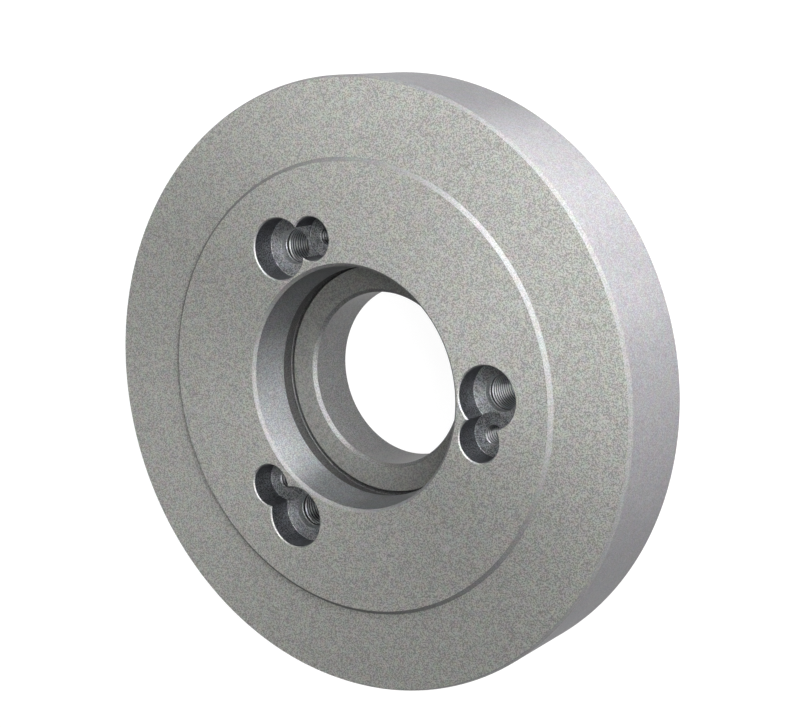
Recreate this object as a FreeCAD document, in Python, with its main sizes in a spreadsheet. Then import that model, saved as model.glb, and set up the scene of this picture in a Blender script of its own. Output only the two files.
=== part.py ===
import FreeCAD, Part
import os
import Sketcher

# Chuck backplate with a short taper socket and three camlock stations.
# Frame: Z is the turning axis, Z=0 is the register face on the chuck side,
# the camlock side looks up, and the first stud hole lies on +X.

# Driving sizes in millimetres and degrees
SIZES = {
    "rim_diameter": 160,
    "rim_thickness": 26.2,
    "rim_front_chamfer": 0.65,
    "rim_front_drop": 1.2,
    "rim_rear_chamfer": 0.3,
    "register_diameter": 130,
    "register_height": 2.8,
    "register_chamfer": 0.5,
    "boss_diameter": 118.8,
    "boss_height": 1,
    "taper_gauge_diameter": 63.513,
    "taper_half_angle": 7.125,
    "taper_depth": 11,
    "socket_mouth_chamfer": 0.8,
    "socket_depth": 15.3,
    "relief_undercut": 1.2,
    "relief_step": 0.6,
    "ring_edge_break": 0.2,
    "bore_diameter": 46,
    "bore_front_chamfer": 0.9,
    "bore_rear_chamfer": 1,
    "station_count": 3,
    "stud_circle_diameter": 82.55,
    "stud_seat_diameter": 16.2,
    "stud_seat_depth": 7,
    "stud_entry_diameter": 9.4,
    "stud_entry_depth": 2.3,
    "stud_hole_depth": 23,
    "lock_circle_diameter": 79.6,
    "lock_lag_angle": 15.5,
    "lock_seat_diameter": 11.4,
    "lock_seat_depth": 7.4,
    "lock_entry_diameter": 5.4,
    "lock_entry_depth": 1.2,
    "lock_hole_depth": 19.4,
    "seat_mouth_chamfer": 0.3,
}

# Sizes that follow from the driving ones
DERIVED = {
    "front_height": "=register_height + rim_thickness",
    "top_height": "=register_height + rim_thickness + boss_height",
    "ring_height": "=top_height - socket_depth",
    "taper_foot_height": "=top_height - taper_depth",
    "mouth_foot_height": "=top_height - socket_mouth_chamfer",
    "rim_radius": "=rim_diameter / 2",
    "register_radius": "=register_diameter / 2",
    "boss_radius": "=boss_diameter / 2",
    "bore_radius": "=bore_diameter / 2",
    "gauge_radius": "=taper_gauge_diameter / 2",
    "taper_slope": "=tan(taper_half_angle * 1 deg)",
    "mouth_foot_radius": "=gauge_radius - socket_mouth_chamfer * taper_slope",
    "taper_foot_radius": "=gauge_radius - taper_depth * taper_slope",
    "relief_radius": "=taper_foot_radius + relief_undercut",
    "mouth_upper": "=top_height + seat_mouth_chamfer",
    "mouth_lower": "=top_height - 2 * seat_mouth_chamfer",
    "stud_mouth_inner": "=stud_seat_diameter / 2 - seat_mouth_chamfer",
    "stud_mouth_outer": "=stud_seat_diameter / 2 + 2 * seat_mouth_chamfer",
    "lock_mouth_inner": "=lock_seat_diameter / 2 - seat_mouth_chamfer",
    "lock_mouth_outer": "=lock_seat_diameter / 2 + 2 * seat_mouth_chamfer",
    "stud_entry_foot": "=stud_seat_depth + stud_entry_depth",
    "lock_entry_foot": "=lock_seat_depth + lock_entry_depth",
    "stud_x": "=stud_circle_diameter / 2",
    "stud_y": "=0",
    "stud_back": "=-stud_y",
    "lock_x": "=lock_circle_diameter / 2 * cos(lock_lag_angle * 1 deg)",
    "lock_y": "=-lock_circle_diameter / 2 * sin(lock_lag_angle * 1 deg)",
    "lock_back": "=-lock_y",
}

# Corners of the turned half section as radius and height
SECTION = (
    ("bore_radius + bore_rear_chamfer", "0"),
    ("register_radius - register_chamfer", "0"),
    ("register_radius", "register_chamfer"),
    ("register_radius", "register_height"),
    ("rim_radius - rim_rear_chamfer", "register_height"),
    ("rim_radius", "register_height + rim_rear_chamfer"),
    ("rim_radius", "front_height - rim_front_drop"),
    ("rim_radius - rim_front_chamfer", "front_height"),
    ("boss_radius", "front_height"),
    ("boss_radius - boss_height", "top_height"),
    ("mouth_foot_radius + socket_mouth_chamfer", "top_height"),
    ("mouth_foot_radius", "mouth_foot_height"),
    ("taper_foot_radius", "taper_foot_height"),
    ("relief_radius", "taper_foot_height"),
    ("relief_radius", "ring_height - relief_step"),
    ("taper_foot_radius", "ring_height - relief_step"),
    ("taper_foot_radius", "ring_height - ring_edge_break"),
    ("taper_foot_radius - ring_edge_break", "ring_height"),
    ("bore_radius + bore_front_chamfer", "ring_height"),
    ("bore_radius", "ring_height - bore_front_chamfer"),
    ("bore_radius", "bore_rear_chamfer"),
)

doc = FreeCAD.newDocument("chuck_backplate")
sheet = doc.addObject("Spreadsheet::Sheet", "sizes")
cells = list(SIZES.items()) + list(DERIVED.items())
for number, (radius, height) in enumerate(SECTION):
    cells.append(("corner_%d_radius" % number, "=" + radius))
    cells.append(("corner_%d_height" % number, "=" + height))
for row, (name, value) in enumerate(cells, start=1):
    sheet.set("A%d" % row, name)
    sheet.set("B%d" % row, str(value))
    sheet.setAlias("B%d" % row, name)
doc.recompute()


# Origin plane or axis of the body by its role
def origin_part(body, role):
    return [item for item in body.Origin.OriginFeatures if item.Role == role][0]


# Sketch laid on one of the body's own origin planes
def plane_sketch(body, name, role):
    sketch = body.newObject("Sketcher::SketchObject", name)
    sketch.AttachmentSupport = [(origin_part(body, role), "")]
    sketch.MapMode = "FlatFace"
    return sketch


# Adds a distance and binds it to a named size
def drive(sketch, kind, where, name, size):
    constraint = Sketcher.Constraint(kind, *where, float(sheet.get(size)))
    sketch.renameConstraint(sketch.addConstraint(constraint), name)
    sketch.setExpression("Constraints." + name, "sizes." + size)


# Closed outline through corners whose radius and height are named sizes
def outline(sketch, corners):
    points = [FreeCAD.Vector(sheet.get(radius), sheet.get(height), 0) for radius, height in corners]
    following = points[1:] + points[:1]
    for start, end in zip(points, following):
        sketch.addGeometry(Part.LineSegment(start, end))
    for number in range(len(points)):
        sketch.addConstraint(Sketcher.Constraint("Coincident", number, 2, (number + 1) % len(points), 1))
    for number, (radius, height) in enumerate(corners):
        drive(sketch, "DistanceX", (-1, 1, number, 1), "radius_%d" % number, radius)
        if points[number].y:
            drive(sketch, "DistanceY", (-1, 1, number, 1), "height_%d" % number, height)
        else:
            sketch.addConstraint(Sketcher.Constraint("PointOnObject", number, 1, -1))
    doc.recompute()


# Full turn of a sketch round its own upright axis, as new stock or as a cut
def turn(kind, name, sketch):
    feature = body.newObject("PartDesign::" + kind, name)
    feature.Profile = sketch
    feature.ReferenceAxis = (sketch, ["V_Axis"])
    feature.Angle = 360
    doc.recompute()
    return feature


# Binds one property of a feature to a named size
def bind(feature, prop, size):
    feature.setExpression(prop, "sizes." + size)


body = doc.addObject("PartDesign::Body", "backplate")
body.Label = "backplate"

# The whole turned form is one half section swept round the axis
section = plane_sketch(body, "half_section", "XZ_Plane")
corners = [("corner_%d_radius" % number, "corner_%d_height" % number) for number in range(len(SECTION))]
outline(section, corners)
turn("Revolution", "turned_form", section)


# Circle on the spindle face round the middle of one kind of hole
def face_circle(name, part):
    circle = plane_sketch(body, name + part + "_circle", "XY_Plane")
    bind(circle, "AttachmentOffset.Base.x", name + "_x")
    bind(circle, "AttachmentOffset.Base.y", name + "_y")
    bind(circle, "AttachmentOffset.Base.z", "top_height")
    size = name + part + "_diameter"
    circle.addGeometry(Part.Circle(FreeCAD.Vector(), FreeCAD.Vector(0, 0, 1), sheet.get(size) / 2))
    circle.addConstraint(Sketcher.Constraint("Coincident", 0, 3, -1, 1))
    drive(circle, "Diameter", (0,), "across", size)
    doc.recompute()
    return circle


# Tapped hole with a flat seat, bored down from the spindle face
def tapped_hole(name, thread, profile):
    hole = body.newObject("PartDesign::Hole", name + "_hole")
    hole.Profile = face_circle(name, "_seat")
    doc.recompute()
    hole.Threaded = True
    hole.ModelThread = False
    hole.ThreadType = profile
    hole.ThreadSize = thread
    hole.DepthType = "Dimension"
    hole.DrillPoint = "Angled"
    hole.HoleCutType = "Counterbore"
    hole.HoleCutCustomValues = True
    bind(hole, "HoleCutDiameter", name + "_seat_diameter")
    bind(hole, "HoleCutDepth", name + "_seat_depth")
    bind(hole, "Depth", name + "_hole_depth")
    doc.recompute()
    return hole


# Plain bore that leads into the thread a little below the floor of the seat
def thread_entry(name):
    entry = body.newObject("PartDesign::Pocket", name + "_entry")
    entry.Profile = face_circle(name, "_entry")
    bind(entry, "Length", name + "_entry_foot")
    doc.recompute()
    return entry


# Ring cut that breaks the mouth of a seat at 45 degrees, run past the edge into the open both ways
def broken_mouth(name):
    ring = plane_sketch(body, name + "_mouth_section", "XZ_Plane")
    bind(ring, "AttachmentOffset.Base.x", name + "_x")
    bind(ring, "AttachmentOffset.Base.z", name + "_back")
    inner = name + "_mouth_inner"
    outline(ring, ((inner, "mouth_lower"), (name + "_mouth_outer", "mouth_upper"), (inner, "mouth_upper")))
    return turn("Groove", name + "_mouth", ring)


# One camlock station: the stud hole and beside it the hole of the screw that locks the stud
stud = tapped_hole("stud", "M10x1.0", "ISOMetricFineProfile")
lock = tapped_hole("lock", "M6x1.0", "ISOMetricProfile")
station = [stud, lock, thread_entry("stud"), thread_entry("lock"), broken_mouth("stud"), broken_mouth("lock")]

# The same station is repeated evenly round the turning axis
stations = body.newObject("PartDesign::PolarPattern", "stations")
stations.Originals = station
stations.Axis = (origin_part(body, "Z_Axis"), [""])
stations.Angle = 360
bind(stations, "Occurrences", "station_count")
body.Tip = stations
doc.recompute()

for item in doc.Objects:
    if "Invalid" in item.State or "Error" in item.State:
        raise RuntimeError("%s failed to build" % item.Name)
if body.Shape.isNull() or not body.Shape.isValid() or len(body.Shape.Solids) != 1:
    raise RuntimeError("the backplate is not one sound solid")

os.makedirs("parts", exist_ok=True)
body.Shape.exportStep("parts/backplate.step")
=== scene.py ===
import math
import bpy
import numpy as np
from mathutils import Euler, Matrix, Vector


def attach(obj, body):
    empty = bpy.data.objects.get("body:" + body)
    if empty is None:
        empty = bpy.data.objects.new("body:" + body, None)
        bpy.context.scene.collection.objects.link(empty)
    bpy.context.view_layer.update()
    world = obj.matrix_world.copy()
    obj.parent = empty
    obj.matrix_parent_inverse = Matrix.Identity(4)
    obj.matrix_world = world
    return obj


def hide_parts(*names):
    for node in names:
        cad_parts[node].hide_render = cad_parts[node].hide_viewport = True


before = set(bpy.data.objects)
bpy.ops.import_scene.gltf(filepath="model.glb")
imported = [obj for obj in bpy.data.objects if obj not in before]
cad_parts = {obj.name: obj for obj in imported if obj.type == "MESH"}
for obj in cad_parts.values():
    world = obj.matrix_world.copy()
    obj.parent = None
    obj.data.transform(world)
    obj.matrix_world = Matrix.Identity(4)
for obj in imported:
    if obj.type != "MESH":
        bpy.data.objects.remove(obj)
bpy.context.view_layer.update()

# All lengths are in millimetres unless a comment says metres, and become metres when a mesh is made
MM = 0.001

# Heights above the register face
TOP = 30.0
FRONT = 29.0
RING = 14.7

# Turned form
RIM = 80.0
REGISTER = 65.0
REGISTER_HEIGHT = 2.8
REGISTER_BREAK = 0.5
BOSS = 59.4
BORE = 23.0
GAUGE = 63.513 / 2
SLOPE = math.tan(math.radians(7.125))
TAPER_DEPTH = 11.0
MOUTH_BREAK = 0.8
RELIEF_UNDERCUT = 1.2
RELIEF_STEP = 0.6
BORE_BREAK = 0.9
BORE_REAR_BREAK = 1.0
RIM_BREAK = 0.65
RIM_DROP = 1.2
RIM_REAR_BREAK = 0.3
RING_BREAK = 0.2

# Camlock stations
STATIONS = 3
STUD_CIRCLE = 82.55 / 2
LOCK_CIRCLE = 79.6 / 2
LOCK_LAG = math.radians(15.5)
SEAT_BREAK = 0.3
DRILL_POINT = math.radians(59)

# Threads: the tap runs out over a turn and a half
PITCH = 1.0
THREAD_FLANK = math.radians(30)
RUN_OUT = 1.5
CREST_RISE = 0.4

# Roundings of edges, and how finely everything is divided
SOFT_EDGE = 0.1
TOOL_CORNER = 0.2
MOUTH_SOFT = 0.05
SEAT_CORNER = 0.06
ENTRY_BREAK = 0.04
CREST_BREAK = 0.05
ARC_SHARE = 0.45
ARC_STEPS = 3
TURNS = 450
HOLE_STEPS = 128
THREAD_STEPS = 96

# How far a cutter runs past the face, and how much slimmer a thread's core is than the drilled hole
ABOVE = 2.0
LIFT = 0.03
CORE_SLACK = 0.1


# Open or closed outline with each corner replaced by a small arc
def rounded(corners, closed):
    outline = []
    count = len(corners)
    for number, (x, y, radius) in enumerate(corners):
        here = np.array((x, y), float)
        inner = closed or 0 < number < count - 1
        if not radius or not inner:
            outline.append(tuple(here))
            continue
        before = np.array(corners[number - 1][:2], float) - here
        after = np.array(corners[(number + 1) % count][:2], float) - here
        before_length, after_length = np.linalg.norm(before), np.linalg.norm(after)
        before, after = before / before_length, after / after_length
        half = math.acos(max(-1.0, min(1.0, float(before @ after)))) / 2
        reach = min(radius / math.tan(half), before_length * ARC_SHARE, after_length * ARC_SHARE)
        radius = reach * math.tan(half)
        middle = here + (before + after) / np.linalg.norm(before + after) * (radius / math.sin(half))
        start, end = here + before * reach - middle, here + after * reach - middle
        first = math.atan2(start[1], start[0])
        sweep = (math.atan2(end[1], end[0]) - first + math.pi) % (2 * math.pi) - math.pi
        for step in range(ARC_STEPS + 1):
            angle = first + sweep * step / ARC_STEPS
            outline.append(tuple(middle + radius * np.array((math.cos(angle), math.sin(angle)))))
    return outline


# New mesh object from points in millimetres
def solid(name, points, faces):
    mesh = bpy.data.meshes.new(name)
    mesh.from_pydata([(x * MM, y * MM, z * MM) for x, y, z in points], [], faces)
    mesh.update()
    piece = bpy.data.objects.new(name, mesh)
    bpy.context.scene.collection.objects.link(piece)
    return piece


# Ring of revolution round Z from a closed outline of radius and height
def turned_ring(name, outline, steps):
    rows = len(outline)
    points, faces = [], []
    for turn in range(steps):
        angle = 2 * math.pi * turn / steps
        points.extend((r * math.cos(angle), r * math.sin(angle), z) for r, z in outline)
    for turn in range(steps):
        here, there = turn * rows, (turn + 1) % steps * rows
        for row in range(rows):
            after = (row + 1) % rows
            faces.append((here + row, there + row, there + after, here + after))
    return solid(name, points, faces)


# Solid of revolution round an upright axis from an open outline that starts and ends on the axis, top first
def turned_plug(name, outline, steps, centre):
    cx, cy = centre
    inner = outline[1:-1]
    rows = len(inner)
    points, faces = [(cx, cy, outline[0][1]), (cx, cy, outline[-1][1])], []
    for turn in range(steps):
        angle = 2 * math.pi * turn / steps
        points.extend((cx + r * math.cos(angle), cy + r * math.sin(angle), z) for r, z in inner)
    for turn in range(steps):
        here, there = 2 + turn * rows, 2 + (turn + 1) % steps * rows
        faces.append((0, here, there))
        for row in range(rows - 1):
            faces.append((here + row, here + row + 1, there + row + 1, there + row))
        faces.append((1, there + rows - 1, here + rows - 1))
    return solid(name, points, faces)


# Solid screw that cuts a right-hand thread, from its start height down to where the tap ran out
def thread_screw(name, centre, major, minor, pitch, start, length):
    cx, cy = centre
    flank = (major - minor) * math.tan(THREAD_FLANK)
    flat = pitch / 8
    steps_of_pitch = ((0.0, major), (flat, major), (flat + flank, minor), (pitch - flank, minor))
    turns = int(round(length / pitch))
    rows = len(steps_of_pitch) * turns + 1
    fade = RUN_OUT * pitch
    points, faces = [], []
    for step in range(THREAD_STEPS):
        part = step / THREAD_STEPS
        angle = 2 * math.pi * part
        for row in range(rows):
            turn, stage = divmod(row, len(steps_of_pitch))
            drop, radius = steps_of_pitch[stage]
            depth = turn * pitch + drop - part * pitch
            left = length - pitch - depth
            radius = minor + (radius - minor) * max(0.0, min(1.0, left / fade))
            points.append((cx + radius * math.cos(angle), cy + radius * math.sin(angle), start - depth))
    # One turn on, a row meets the row one pitch further down
    lead = len(steps_of_pitch)
    for step in range(THREAD_STEPS):
        here, there = step * rows, (step + 1) % THREAD_STEPS * rows
        shift = 0 if step < THREAD_STEPS - 1 else -lead
        for row in range(rows - 1):
            first, second = row + shift, row + 1 + shift
            if first < 0:
                continue
            faces.append((here + row, here + row + 1, there + second, there + first))
    # The two ends are closed to the axis
    top_middle, low_middle = len(points), len(points) + 1
    points.append((cx, cy, start))
    points.append((cx, cy, start - length))
    last = (THREAD_STEPS - 1) * rows
    upper = [step * rows for step in range(THREAD_STEPS)]
    upper += [last + row for row in range(1, lead + 1)]
    for first, second in zip(upper, upper[1:] + upper[:1]):
        faces.append((top_middle, first, second))
    lower = [step * rows + rows - 1 for step in range(THREAD_STEPS)]
    lower += [rows - 1 - row for row in range(lead, 0, -1)]
    for first, second in zip(lower, lower[1:] + lower[:1]):
        faces.append((low_middle, second, first))
    return solid(name, points, faces)


# Cuts one solid out of another and throws the cutter away
def cut(body, tool):
    modifier = body.modifiers.new("cut", "BOOLEAN")
    modifier.operation = "DIFFERENCE"
    modifier.solver = "MANIFOLD"
    modifier.object = tool
    seen = body.evaluated_get(bpy.context.evaluated_depsgraph_get())
    mesh = bpy.data.meshes.new_from_object(seen)
    body.modifiers.remove(modifier)
    spent = body.data
    body.data = mesh
    bpy.data.meshes.remove(spent)
    used = tool.data
    bpy.data.objects.remove(tool)
    bpy.data.meshes.remove(used)


# Half section of the turned form, from the bore's rear edge outwards, up and back down the bore
mouth_foot = GAUGE - MOUTH_BREAK * SLOPE
taper_foot = GAUGE - TAPER_DEPTH * SLOPE
relief = taper_foot + RELIEF_UNDERCUT
groove = RING - RELIEF_STEP
half_section = rounded((
    (BORE + BORE_REAR_BREAK, 0, SOFT_EDGE),
    (REGISTER - REGISTER_BREAK, 0, SOFT_EDGE),
    (REGISTER, REGISTER_BREAK, SOFT_EDGE),
    (REGISTER, REGISTER_HEIGHT, TOOL_CORNER),
    (RIM - RIM_REAR_BREAK, REGISTER_HEIGHT, SOFT_EDGE),
    (RIM, REGISTER_HEIGHT + RIM_REAR_BREAK, SOFT_EDGE),
    (RIM, FRONT - RIM_DROP, SOFT_EDGE),
    (RIM - RIM_BREAK, FRONT, SOFT_EDGE),
    (BOSS, FRONT, TOOL_CORNER),
    (BOSS - (TOP - FRONT), TOP, SOFT_EDGE),
    (mouth_foot + MOUTH_BREAK, TOP, SOFT_EDGE),
    (mouth_foot, TOP - MOUTH_BREAK, SOFT_EDGE),
    (taper_foot, TOP - TAPER_DEPTH, SOFT_EDGE),
    (relief, TOP - TAPER_DEPTH, TOOL_CORNER),
    (relief, groove, TOOL_CORNER),
    (taper_foot, groove, TOOL_CORNER),
    (taper_foot, RING - RING_BREAK, SOFT_EDGE),
    (taper_foot - RING_BREAK, RING, SOFT_EDGE),
    (BORE + BORE_BREAK, RING, SOFT_EDGE),
    (BORE, RING - BORE_BREAK, SOFT_EDGE),
    (BORE, BORE_REAR_BREAK, SOFT_EDGE),
), True)
plate = turned_ring("backplate_body", half_section, TURNS)

# Stud hole and lock screw hole of a station, as radii, and depths under the floor of the seat. The plain
# entry steps in at a ledge, and in the stud hole a relief runs out behind it before the first turn of the
# thread. relief_foot is where the thread takes over from the entry
HOLES = (
    {
        "circle": STUD_CIRCLE, "lag": 0.0, "seat": 8.1, "floor": TOP - 7.0,
        "entry": 4.7, "ledge": 4.6, "ledge_depth": 2.1,
        "relief": 4.76, "relief_depth": 2.5, "relief_foot": 3.4,
        "thread": 5.0, "drill": 4.5, "depth": 16.0, "first": 3.85, "turns": 11,
    },
    {
        "circle": LOCK_CIRCLE, "lag": LOCK_LAG, "seat": 5.7, "floor": TOP - 7.4,
        "entry": 2.55, "ledge": 2.42, "ledge_depth": 0.1,
        "relief": 0.0, "relief_depth": 0.0, "relief_foot": 0.4,
        "thread": 2.95, "drill": 2.42, "depth": 12.0, "first": 0.7, "turns": 10,
    },
)


# Outline of the cutter for one hole, from above the face down to the drill's point
def hole_outline(hole):
    seat, floor, drill, entry, ledge = (hole[key] for key in ("seat", "floor", "drill", "entry", "ledge"))
    mouth = seat + SEAT_BREAK
    ledge_top = floor - hole["ledge_depth"]
    bottom = floor - hole["depth"]
    outline = [
        (0, TOP + ABOVE, 0),
        (mouth + ABOVE, TOP + ABOVE, 0),
        (mouth + ABOVE, TOP + LIFT, 0),
        (mouth, TOP, MOUTH_SOFT),
        (seat, TOP - SEAT_BREAK, MOUTH_SOFT),
        (seat, floor, SEAT_CORNER),
        (entry, floor, ENTRY_BREAK),
        (entry, ledge_top, 0),
        (ledge, ledge_top - (entry - ledge), 0),
    ]
    if hole["relief"]:
        low = floor - hole["relief_foot"]
        outline += [
            (ledge, floor - hole["relief_depth"], 0),
            (hole["relief"], floor - hole["relief_depth"], 0),
            (hole["relief"], low, 0),
            (drill, low - CREST_RISE, CREST_BREAK),
        ]
    outline += [(drill, bottom, 0), (0, bottom - drill / math.tan(DRILL_POINT), 0)]
    return rounded(outline, False)


centres = []
for number in range(STATIONS):
    for hole in HOLES:
        angle = 2 * math.pi * number / STATIONS - hole["lag"]
        centre = (hole["circle"] * math.cos(angle), hole["circle"] * math.sin(angle))
        centres.append((centre, hole))
        cut(plate, turned_plug("seat_cutter", hole_outline(hole), HOLE_STEPS, centre))
for centre, hole in centres:
    core = hole["drill"] - CORE_SLACK
    start = hole["floor"] - hole["first"]
    length = hole["turns"] * PITCH
    cut(plate, thread_screw("thread_cutter", centre, hole["thread"], core, PITCH, start, length))

# Every finish of the plate, and the painted shade of its relief groove, relief undercut and lower thread
# faces, in the order of its material slots
SLOT_LOOKS = (
    "face", "edge", "socket_edge", "bore_edge", "taper", "ring", "groove", "bore", "rim", "mouth",
    "seat_floor", "lock_floor", "seat_wall", "entry", "relief", "crest", "thread", "thread_painted_shade", "rear",
)

# Slack between the middle of a face and the size that it is compared with
NEAR = 0.1
HAIR = 0.01
SKIN = 0.001
SEAT_REACH = 0.05
ENTRY_LIP = 0.03
MOUTH_LIP = 0.02
EDGE_BAND = 2.0
WALL_BAND = 0.5
RIM_BAND = 1.0
RING_BAND = 1.0

# How far a face's normal points up where the face counts as level, as a seat's floor, as the upper flank of a
# thread, or as sloped at all. Thread faces that point up less than FLANK_UP get a near-black painted shade
LEVEL = 0.98
FLOOR_UP = 0.7
FLANK_UP = 0.3
SLOPED = 0.2


# Finish of a face of a tapped hole, or the painted shade of its relief and lower thread faces, or None where
# the face isn't part of that hole
def hole_look(hole, away, z, up):
    floor = hole["floor"]
    if z < floor - hole["depth"] - hole["drill"]:
        return None
    if z < floor - hole["relief_foot"]:
        if away > hole["thread"] + NEAR:
            return None
        if hole["relief"] and z > floor - hole["first"]:
            return "crest"
        # Upper thread flanks keep the iron's tone; crests, roots and lower flanks get the near-black painted
        # shade
        return "thread" if up > FLANK_UP else "thread_painted_shade"
    # The relief behind the entry gets a near-black tone, painted shade of the undercut
    if hole["relief"] and z < floor - hole["relief_depth"] + HAIR:
        return None if away > hole["relief"] + NEAR else "relief"
    if z < floor - ENTRY_LIP:
        return None if away > hole["entry"] + SEAT_REACH else "entry"
    if z < floor + NEAR and up > FLOOR_UP:
        if away > hole["seat"]:
            return None
        return "lock_floor" if hole["lag"] else "seat_floor"
    if abs(away - hole["seat"]) > SEAT_BREAK + SEAT_REACH:
        return None
    return "mouth" if z > TOP - SEAT_BREAK - MOUTH_LIP else "seat_wall"


# Finish of a face that was turned about the plate's own axis, with painted shade for the relief groove
def turned_look(radius, z, up):
    # The relief groove at the foot of the taper gets a dark tone, painted shade of the undercut
    if groove - NEAR < z < TOP - TAPER_DEPTH - NEAR and taper_foot + NEAR < radius < relief + NEAR:
        return "groove"
    if SLOPED < abs(up) < LEVEL:
        if radius > BOSS - EDGE_BAND:
            return "edge"
        return "socket_edge" if z > RING + RING_BAND else "bore_edge"
    if up > LEVEL:
        return "face" if z > FRONT - NEAR else "ring"
    if up < -LEVEL:
        return "rear"
    if radius > RIM - RIM_BAND:
        return "rim"
    if radius < BORE + WALL_BAND:
        return "bore"
    return "taper" if radius < relief + WALL_BAND else "rear"


# Finish of a face, or its painted shade, and the axis that it was turned or bored about
def look_of(x, y, z, up):
    radius = math.hypot(x, y)
    in_socket = radius < mouth_foot + MOUTH_BREAK
    for (cx, cy), hole in centres:
        away = math.hypot(x - cx, y - cy)
        if in_socket or z > TOP - SKIN or away > hole["seat"] + SEAT_BREAK + SEAT_REACH:
            continue
        kind = hole_look(hole, away, z, up)
        if kind:
            return kind, (cx, cy)
    return turned_look(radius, z, up), (0, 0)


# Each corner of the mesh keeps its place from the axis of its face, which the turning marks follow
mesh = plate.data
mesh.materials.clear()
hub = mesh.attributes.new("hub", "FLOAT_VECTOR", "CORNER")
hub_values = np.zeros((len(mesh.loops), 3), np.float32)
for face in mesh.polygons:
    place = face.center / MM
    kind, (cx, cy) = look_of(place.x, place.y, place.z, face.normal.z)
    face.material_index = SLOT_LOOKS.index(kind)
    for loop in face.loop_indices:
        point = mesh.vertices[mesh.loops[loop].vertex_index].co
        hub_values[loop] = (point.x - cx * MM, point.y - cy * MM, point.z)
hub.data.foreach_set("vector", hub_values.ravel())

SHARP_ANGLE = math.radians(35)
mesh.shade_smooth()
mesh.set_sharp_from_angle(angle=SHARP_ANGLE)
weighted = plate.modifiers.new("weighted", "WEIGHTED_NORMAL")
weighted.keep_sharp = True
weighted.mode = "FACE_AREA"


# Node helper: adds a node, sets its values and links its inputs
def add(tree, kind, values=(), **settings):
    node = tree.nodes.new(kind)
    for name, value in settings.items():
        setattr(node, name, value)
    for key, value in values:
        if isinstance(value, bpy.types.NodeSocket):
            tree.links.new(value, node.inputs[key])
        else:
            node.inputs[key].default_value = value
    return node


def arithmetic(tree, operation, first, second=0.0, clamp=False):
    node = add(tree, "ShaderNodeMath", ((0, first), (1, second)), operation=operation, use_clamp=clamp)
    return node.outputs[0]


def vector(tree, operation, *values):
    return add(tree, "ShaderNodeVectorMath", enumerate(values), operation=operation).outputs[0]


def noise(tree, place, scale, detail, roughness=0.5, output="Fac"):
    values = (("Vector", place), ("Scale", scale), ("Detail", detail), ("Roughness", roughness))
    return add(tree, "ShaderNodeTexNoise", values).outputs[output]


# A noise about its mean, times a gain
def swing(tree, value, gain):
    return arithmetic(tree, "MULTIPLY", arithmetic(tree, "SUBTRACT", value, NOISE_MEAN), gain)


# A colour of one grey value with a slight cast
def grey(value, cast):
    return (*(value * part for part in cast), 1.0)


# Noises of the iron, with scales in cells per metre, and how strongly each one shows. The grain repeats its
# strength every cell, so the offset, in metres, keeps both faces at the same place in a cell
NOISE_MEAN = 0.5
GRAIN_SCALE = 3000.0
GRAIN_OFFSET = (0.0, 0.0, 0.00078)
GRAIN_GAIN = 4.2
GLOSS_GAIN = 0.12
CLOUD_GAIN = 0.2
MARK_SCALE = 3000.0
HUE_SCALE = 500.0
HUE_GAIN = (0.25, 0.25, 0.25)
HUE_BASE = (0.875, 0.875, 0.875)
QUARTER_TURN = 0.25


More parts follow.
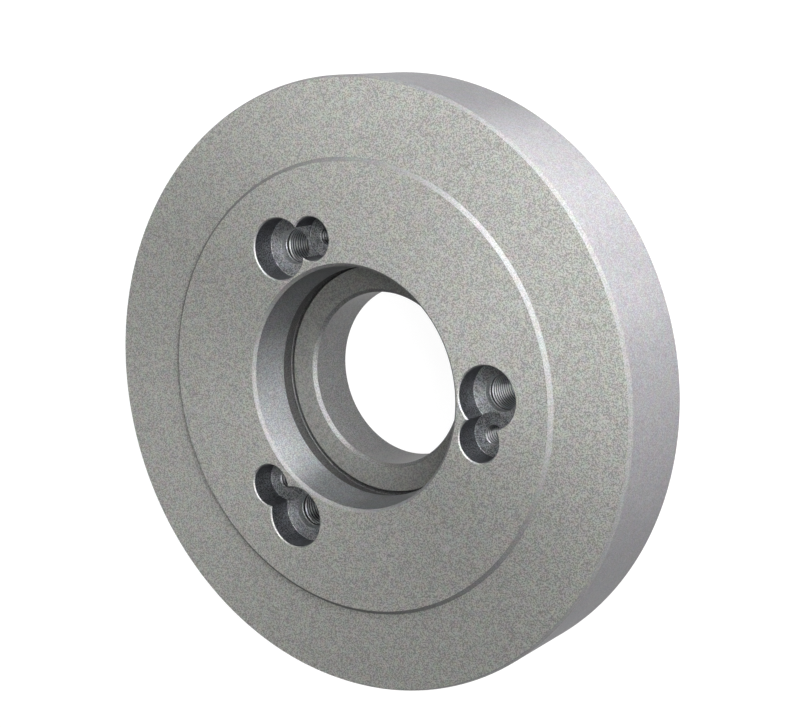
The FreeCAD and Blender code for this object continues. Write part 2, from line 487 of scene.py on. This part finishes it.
# Machined iron: salt and pepper grain, slow mottling, turning marks round the hub, and fine relief
def iron(name, cast, dark, light, roughness, metallic, marks=0.0, grain_relief=0.0, mark_relief=0.0,
         mottle=0.0, stretch=0.0, grit=1.0, patch=260.0):
    material = bpy.data.materials.new(name)
    material.use_nodes = True
    tree = material.node_tree
    shader = tree.nodes["Principled BSDF"]
    place = vector(tree, "ADD", add(tree, "ShaderNodeTexCoord").outputs["Object"], GRAIN_OFFSET)
    grain = noise(tree, place, GRAIN_SCALE, 1.0, 0.6)
    cloud = noise(tree, place, patch, 3.0, 0.6)
    local = add(tree, "ShaderNodeAttribute", attribute_name="hub").outputs["Vector"]
    parts = add(tree, "ShaderNodeSeparateXYZ", ((0, local),)).outputs
    square = arithmetic(tree, "ADD", arithmetic(tree, "POWER", parts[0], 2.0),
                        arithmetic(tree, "POWER", parts[1], 2.0))
    along = arithmetic(tree, "ADD", arithmetic(tree, "SQRT", square), parts[2])
    turning = add(tree, "ShaderNodeTexNoise", (("W", along), ("Scale", MARK_SCALE), ("Detail", 1.0)),
                  noise_dimensions="1D").outputs["Fac"]
    # Grain, slow mottling and turning marks pick between the dark and the light tone
    tone = arithmetic(tree, "ADD", swing(tree, grain, GRAIN_GAIN * grit), NOISE_MEAN)
    tone = arithmetic(tree, "ADD", tone, swing(tree, cloud, CLOUD_GAIN + mottle))
    tone = arithmetic(tree, "ADD", tone, swing(tree, turning, marks), clamp=True)
    colour = add(tree, "ShaderNodeMix", ((0, tone), (6, grey(dark, cast)), (7, grey(light, cast))),
                 data_type="RGBA").outputs[2]
    # Faint patches of one hue or another, a few millimetres across
    hue = vector(tree, "MULTIPLY_ADD", noise(tree, place, HUE_SCALE, 1.0, output="Color"), HUE_GAIN, HUE_BASE)
    tree.links.new(vector(tree, "MULTIPLY", colour, hue), shader.inputs["Base Color"])
    shader.inputs["Metallic"].default_value = metallic
    gloss = arithmetic(tree, "ADD", swing(tree, grain, GLOSS_GAIN * grit), roughness, clamp=True)
    tree.links.new(gloss, shader.inputs["Roughness"])
    height = arithmetic(tree, "ADD", arithmetic(tree, "MULTIPLY", grain, grain_relief),
                        arithmetic(tree, "MULTIPLY", turning, mark_relief))
    bump = add(tree, "ShaderNodeBump", (("Height", height), ("Strength", 1.0), ("Distance", MM)))
    tree.links.new(bump.outputs[0], shader.inputs["Normal"])
    if stretch:
        # Gloss spreads across the turning marks, which run round the hub
        around = vector(tree, "CROSS_PRODUCT", (0.0, 0.0, 1.0), local)
        tree.links.new(around, shader.inputs["Tangent"])
        shader.inputs["Anisotropic"].default_value = stretch
        shader.inputs["Anisotropic Rotation"].default_value = QUARTER_TURN
    return material


# Slight casts of the bare iron: warm on ground faces, blue where it mirrors the room
PLAIN = (1.0, 1.0, 1.0)
WARM = (1.0, 1.005, 0.95)
COOL = (0.97, 1.0, 1.03)
COLD = (0.93, 0.97, 1.08)
LILAC = (1.0, 0.985, 1.03)

# Each finish, and each painted shade, with its cast, its dark and light tone, its roughness and how metallic
# it is, and then what marks it
LOOKS = {
    "face": iron("ground_face", WARM, 0.272, 0.532, 0.47, 0.8, grain_relief=0.0015, stretch=0.55),
    "edge": iron("broken_edge", PLAIN, 0.115, 0.18, 0.55, 0.6, marks=0.1, grain_relief=0.015, stretch=0.5),
    "socket_edge": iron("socket_edge", PLAIN, 0.11, 0.18, 0.55, 0.45, marks=0.1, grain_relief=0.015,
                        stretch=0.5),
    "bore_edge": iron("bore_edge", PLAIN, 0.1, 0.175, 0.5, 0.85, marks=0.1, grain_relief=0.015, stretch=0.5),
    "taper": iron("ground_taper", COOL, 0.15, 0.27, 0.42, 0.95, marks=0.15, grain_relief=0.01,
                  mark_relief=0.002, stretch=0.9),
    "ring": iron("turned_ring", WARM, 0.11, 0.2, 0.45, 0.4, marks=0.15, grain_relief=0.03, mark_relief=0.002,
                 stretch=0.7),
    # Relief groove: the iron darkened as painted shade of the undercut
    "groove": iron("relief_groove_painted_shade", PLAIN, 0.06, 0.115, 0.45, 0.85, marks=0.15, grain_relief=0.02,
                   mark_relief=0.002, stretch=0.6),
    "bore": iron("turned_bore", PLAIN, 0.09, 0.175, 0.45, 0.8, marks=0.1, grain_relief=0.02,
                 mark_relief=0.002, stretch=0.6),
    "rim": iron("turned_rim", LILAC, 0.165, 0.27, 0.44, 0.95, marks=0.1, grain_relief=0.02,
                mark_relief=0.001, stretch=0.9),
    "seat_floor": iron("seat_floor", COOL, 0.2, 0.54, 0.4, 0.85, marks=0.3, grain_relief=0.02,
                       mark_relief=0.006, mottle=0.8, stretch=0.75, patch=600.0),
    "lock_floor": iron("lock_floor", COOL, 0.14, 0.48, 0.4, 0.85, marks=0.3, grain_relief=0.03,
                       mark_relief=0.006, mottle=1.6, stretch=0.6, patch=800.0),
    # The seat walls' tones are far darker than the face's
    "seat_wall": iron("seat_wall", COLD, 0.013, 0.08, 0.4, 0.8, marks=0.7, grain_relief=0.015,
                      mark_relief=0.008, mottle=0.6, stretch=0.6, patch=700.0),
    "mouth": iron("seat_mouth", PLAIN, 0.15, 0.26, 0.5, 0.7, marks=0.1, grain_relief=0.015, stretch=0.4),
    "entry": iron("thread_entry", COOL, 0.23, 0.4, 0.45, 0.75, marks=0.2, grain_relief=0.015,
                  mark_relief=0.003, stretch=0.4),
    # Relief undercut: near-black painted shade
    "relief": iron("thread_relief_painted_shade", PLAIN, 0.01, 0.02, 0.6, 0.2, grain_relief=0.01, grit=0.3),
    "crest": iron("thread_crest", COOL, 0.16, 0.28, 0.4, 0.8, grit=0.5),
    # Upper thread flanks keep the iron's tone; the thread's other faces are near-black painted shade
    "thread": iron("cut_thread", COOL, 0.16, 0.3, 0.32, 0.9, grit=0.3),
    "thread_painted_shade": iron("thread_painted_shade", COOL, 0.015, 0.035, 0.4, 0.8, grit=0.3),
    "rear": iron("turned_rear", WARM, 0.25, 0.5, 0.5, 0.75, marks=0.25, grain_relief=0.03, mark_relief=0.006,
                 stretch=0.4),
}
for kind in SLOT_LOOKS:
    mesh.materials.append(LOOKS[kind])
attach(plate, "root")
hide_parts("backplate")

# Floor in metres, a hair under the plate. The camera and the gloss see it as white, with a faint shadow
FLOOR_REACH = 3.0
FLOOR_GAP = 0.02
WHITE = (1.0, 1.0, 1.0, 1.0)
PALE = (0.8, 0.8, 0.8, 1.0)
SHADOW_SHARE = (0.12, 0.12, 0.12, 1.0)
GLOW = 0.93
corners = [(x * FLOOR_REACH, y * FLOOR_REACH, 0) for x, y in ((-1, -1), (1, -1), (1, 1), (-1, 1))]
sheet = bpy.data.meshes.new("floor")
sheet.from_pydata(corners, [], [(0, 1, 2, 3)])
ground = bpy.data.objects.new("floor", sheet)
ground.location.z = -FLOOR_GAP * MM
bpy.context.scene.collection.objects.link(ground)
paper = bpy.data.materials.new("white_paper")
paper.use_nodes = True
tree = paper.node_tree
tree.nodes.clear()
rays = add(tree, "ShaderNodeLightPath")
seen = arithmetic(tree, "MAXIMUM", rays.outputs["Is Camera Ray"], rays.outputs["Is Glossy Ray"])
seen = arithmetic(tree, "MAXIMUM", seen, rays.outputs["Is Transmission Ray"])
plain = add(tree, "ShaderNodeBsdfDiffuse", (("Color", PALE),))
faint = add(tree, "ShaderNodeBsdfDiffuse", (("Color", SHADOW_SHARE),))
glow = add(tree, "ShaderNodeEmission", (("Color", WHITE), ("Strength", GLOW)))
white = add(tree, "ShaderNodeAddShader", ((0, faint.outputs[0]), (1, glow.outputs[0])))
mixed = add(tree, "ShaderNodeMixShader", ((0, seen), (1, plain.outputs[0]), (2, white.outputs[0])))
add(tree, "ShaderNodeOutputMaterial", (("Surface", mixed.outputs[0]),))
sheet.materials.append(paper)

# Studio: a dim even sky, which the camera sees as white
SKY = 0.06
world = bpy.data.worlds.new("studio")
bpy.context.scene.world = world
world.use_nodes = True
tree = world.node_tree
tree.nodes.clear()
rays = add(tree, "ShaderNodeLightPath")
sky = add(tree, "ShaderNodeBackground", (("Color", WHITE), ("Strength", SKY)))
backdrop = add(tree, "ShaderNodeBackground", (("Color", WHITE), ("Strength", 1.0)))
mixed = add(tree, "ShaderNodeMixShader", ((0, rays.outputs["Is Camera Ray"]), (1, sky.outputs[0]),
                                          (2, backdrop.outputs[0])))
add(tree, "ShaderNodeOutputWorld", (("Surface", mixed.outputs[0]),))


# Square lamp that faces the middle of the plate
def lamp(name, azimuth, elevation, distance, size, power):
    data = bpy.data.lights.new(name, "AREA")
    data.shape = "SQUARE"
    data.size = size
    data.energy = power
    piece = bpy.data.objects.new(name, data)
    bpy.context.scene.collection.objects.link(piece)
    azimuth, elevation = math.radians(azimuth), math.radians(elevation)
    direction = Vector((math.cos(azimuth) * math.cos(elevation), math.sin(azimuth) * math.cos(elevation),
                        math.sin(elevation)))
    piece.location = direction * distance + Vector((0, 0, TOP * MM))
    piece.rotation_euler = direction.to_track_quat("Z", "Y").to_euler()


# Soft boxes by distance and size in metres. Each lamp has its two angles in degrees and its power in watts
SMALL = (0.2, 0.12)
CLOSE = (0.4, 0.25)
WIDE = (1.2, 0.6)
lamp("high", 15.0, 45.0, *CLOSE, 0.62)
lamp("key", 30.0, 15.0, *CLOSE, 1.85)
lamp("key_upper", 60.0, 15.0, *CLOSE, 1.35)
lamp("key_edge", 60.0, 20.0, *SMALL, 0.14)
lamp("top", 105.0, 30.0, *CLOSE, 0.6)
lamp("low_side", -30.0, 35.0, *WIDE, 7.0)
lamp("side", 0.0, 35.0, *WIDE, 11.8)
lamp("upper_side", 60.0, 35.0, *WIDE, 8.3)
lamp("overhead", 15.0, 60.0, *WIDE, 1.1)
lamp("far", 150.0, 40.0, *WIDE, 2.4)

# Camera at the photograph's angle, with its turns in degrees
CAMERA_PLACE = (259.424, 76.433, 372.571)
CAMERA_TURNS = (-8.7714, 33.2947, -3.4414)
camera_data = bpy.data.cameras.new("camera")
camera_data.sensor_width = 36.0
camera_data.lens = 76.375
camera_data.shift_x = -0.05718
camera_data.shift_y = -0.09482
camera = bpy.data.objects.new("camera", camera_data)
camera.location = Vector(CAMERA_PLACE) * MM
camera.rotation_euler = Euler([math.radians(turn) for turn in CAMERA_TURNS], "XYZ")
bpy.context.scene.collection.objects.link(camera)
bpy.context.scene.camera = camera
bpy.context.scene.view_settings.view_transform = "Standard"
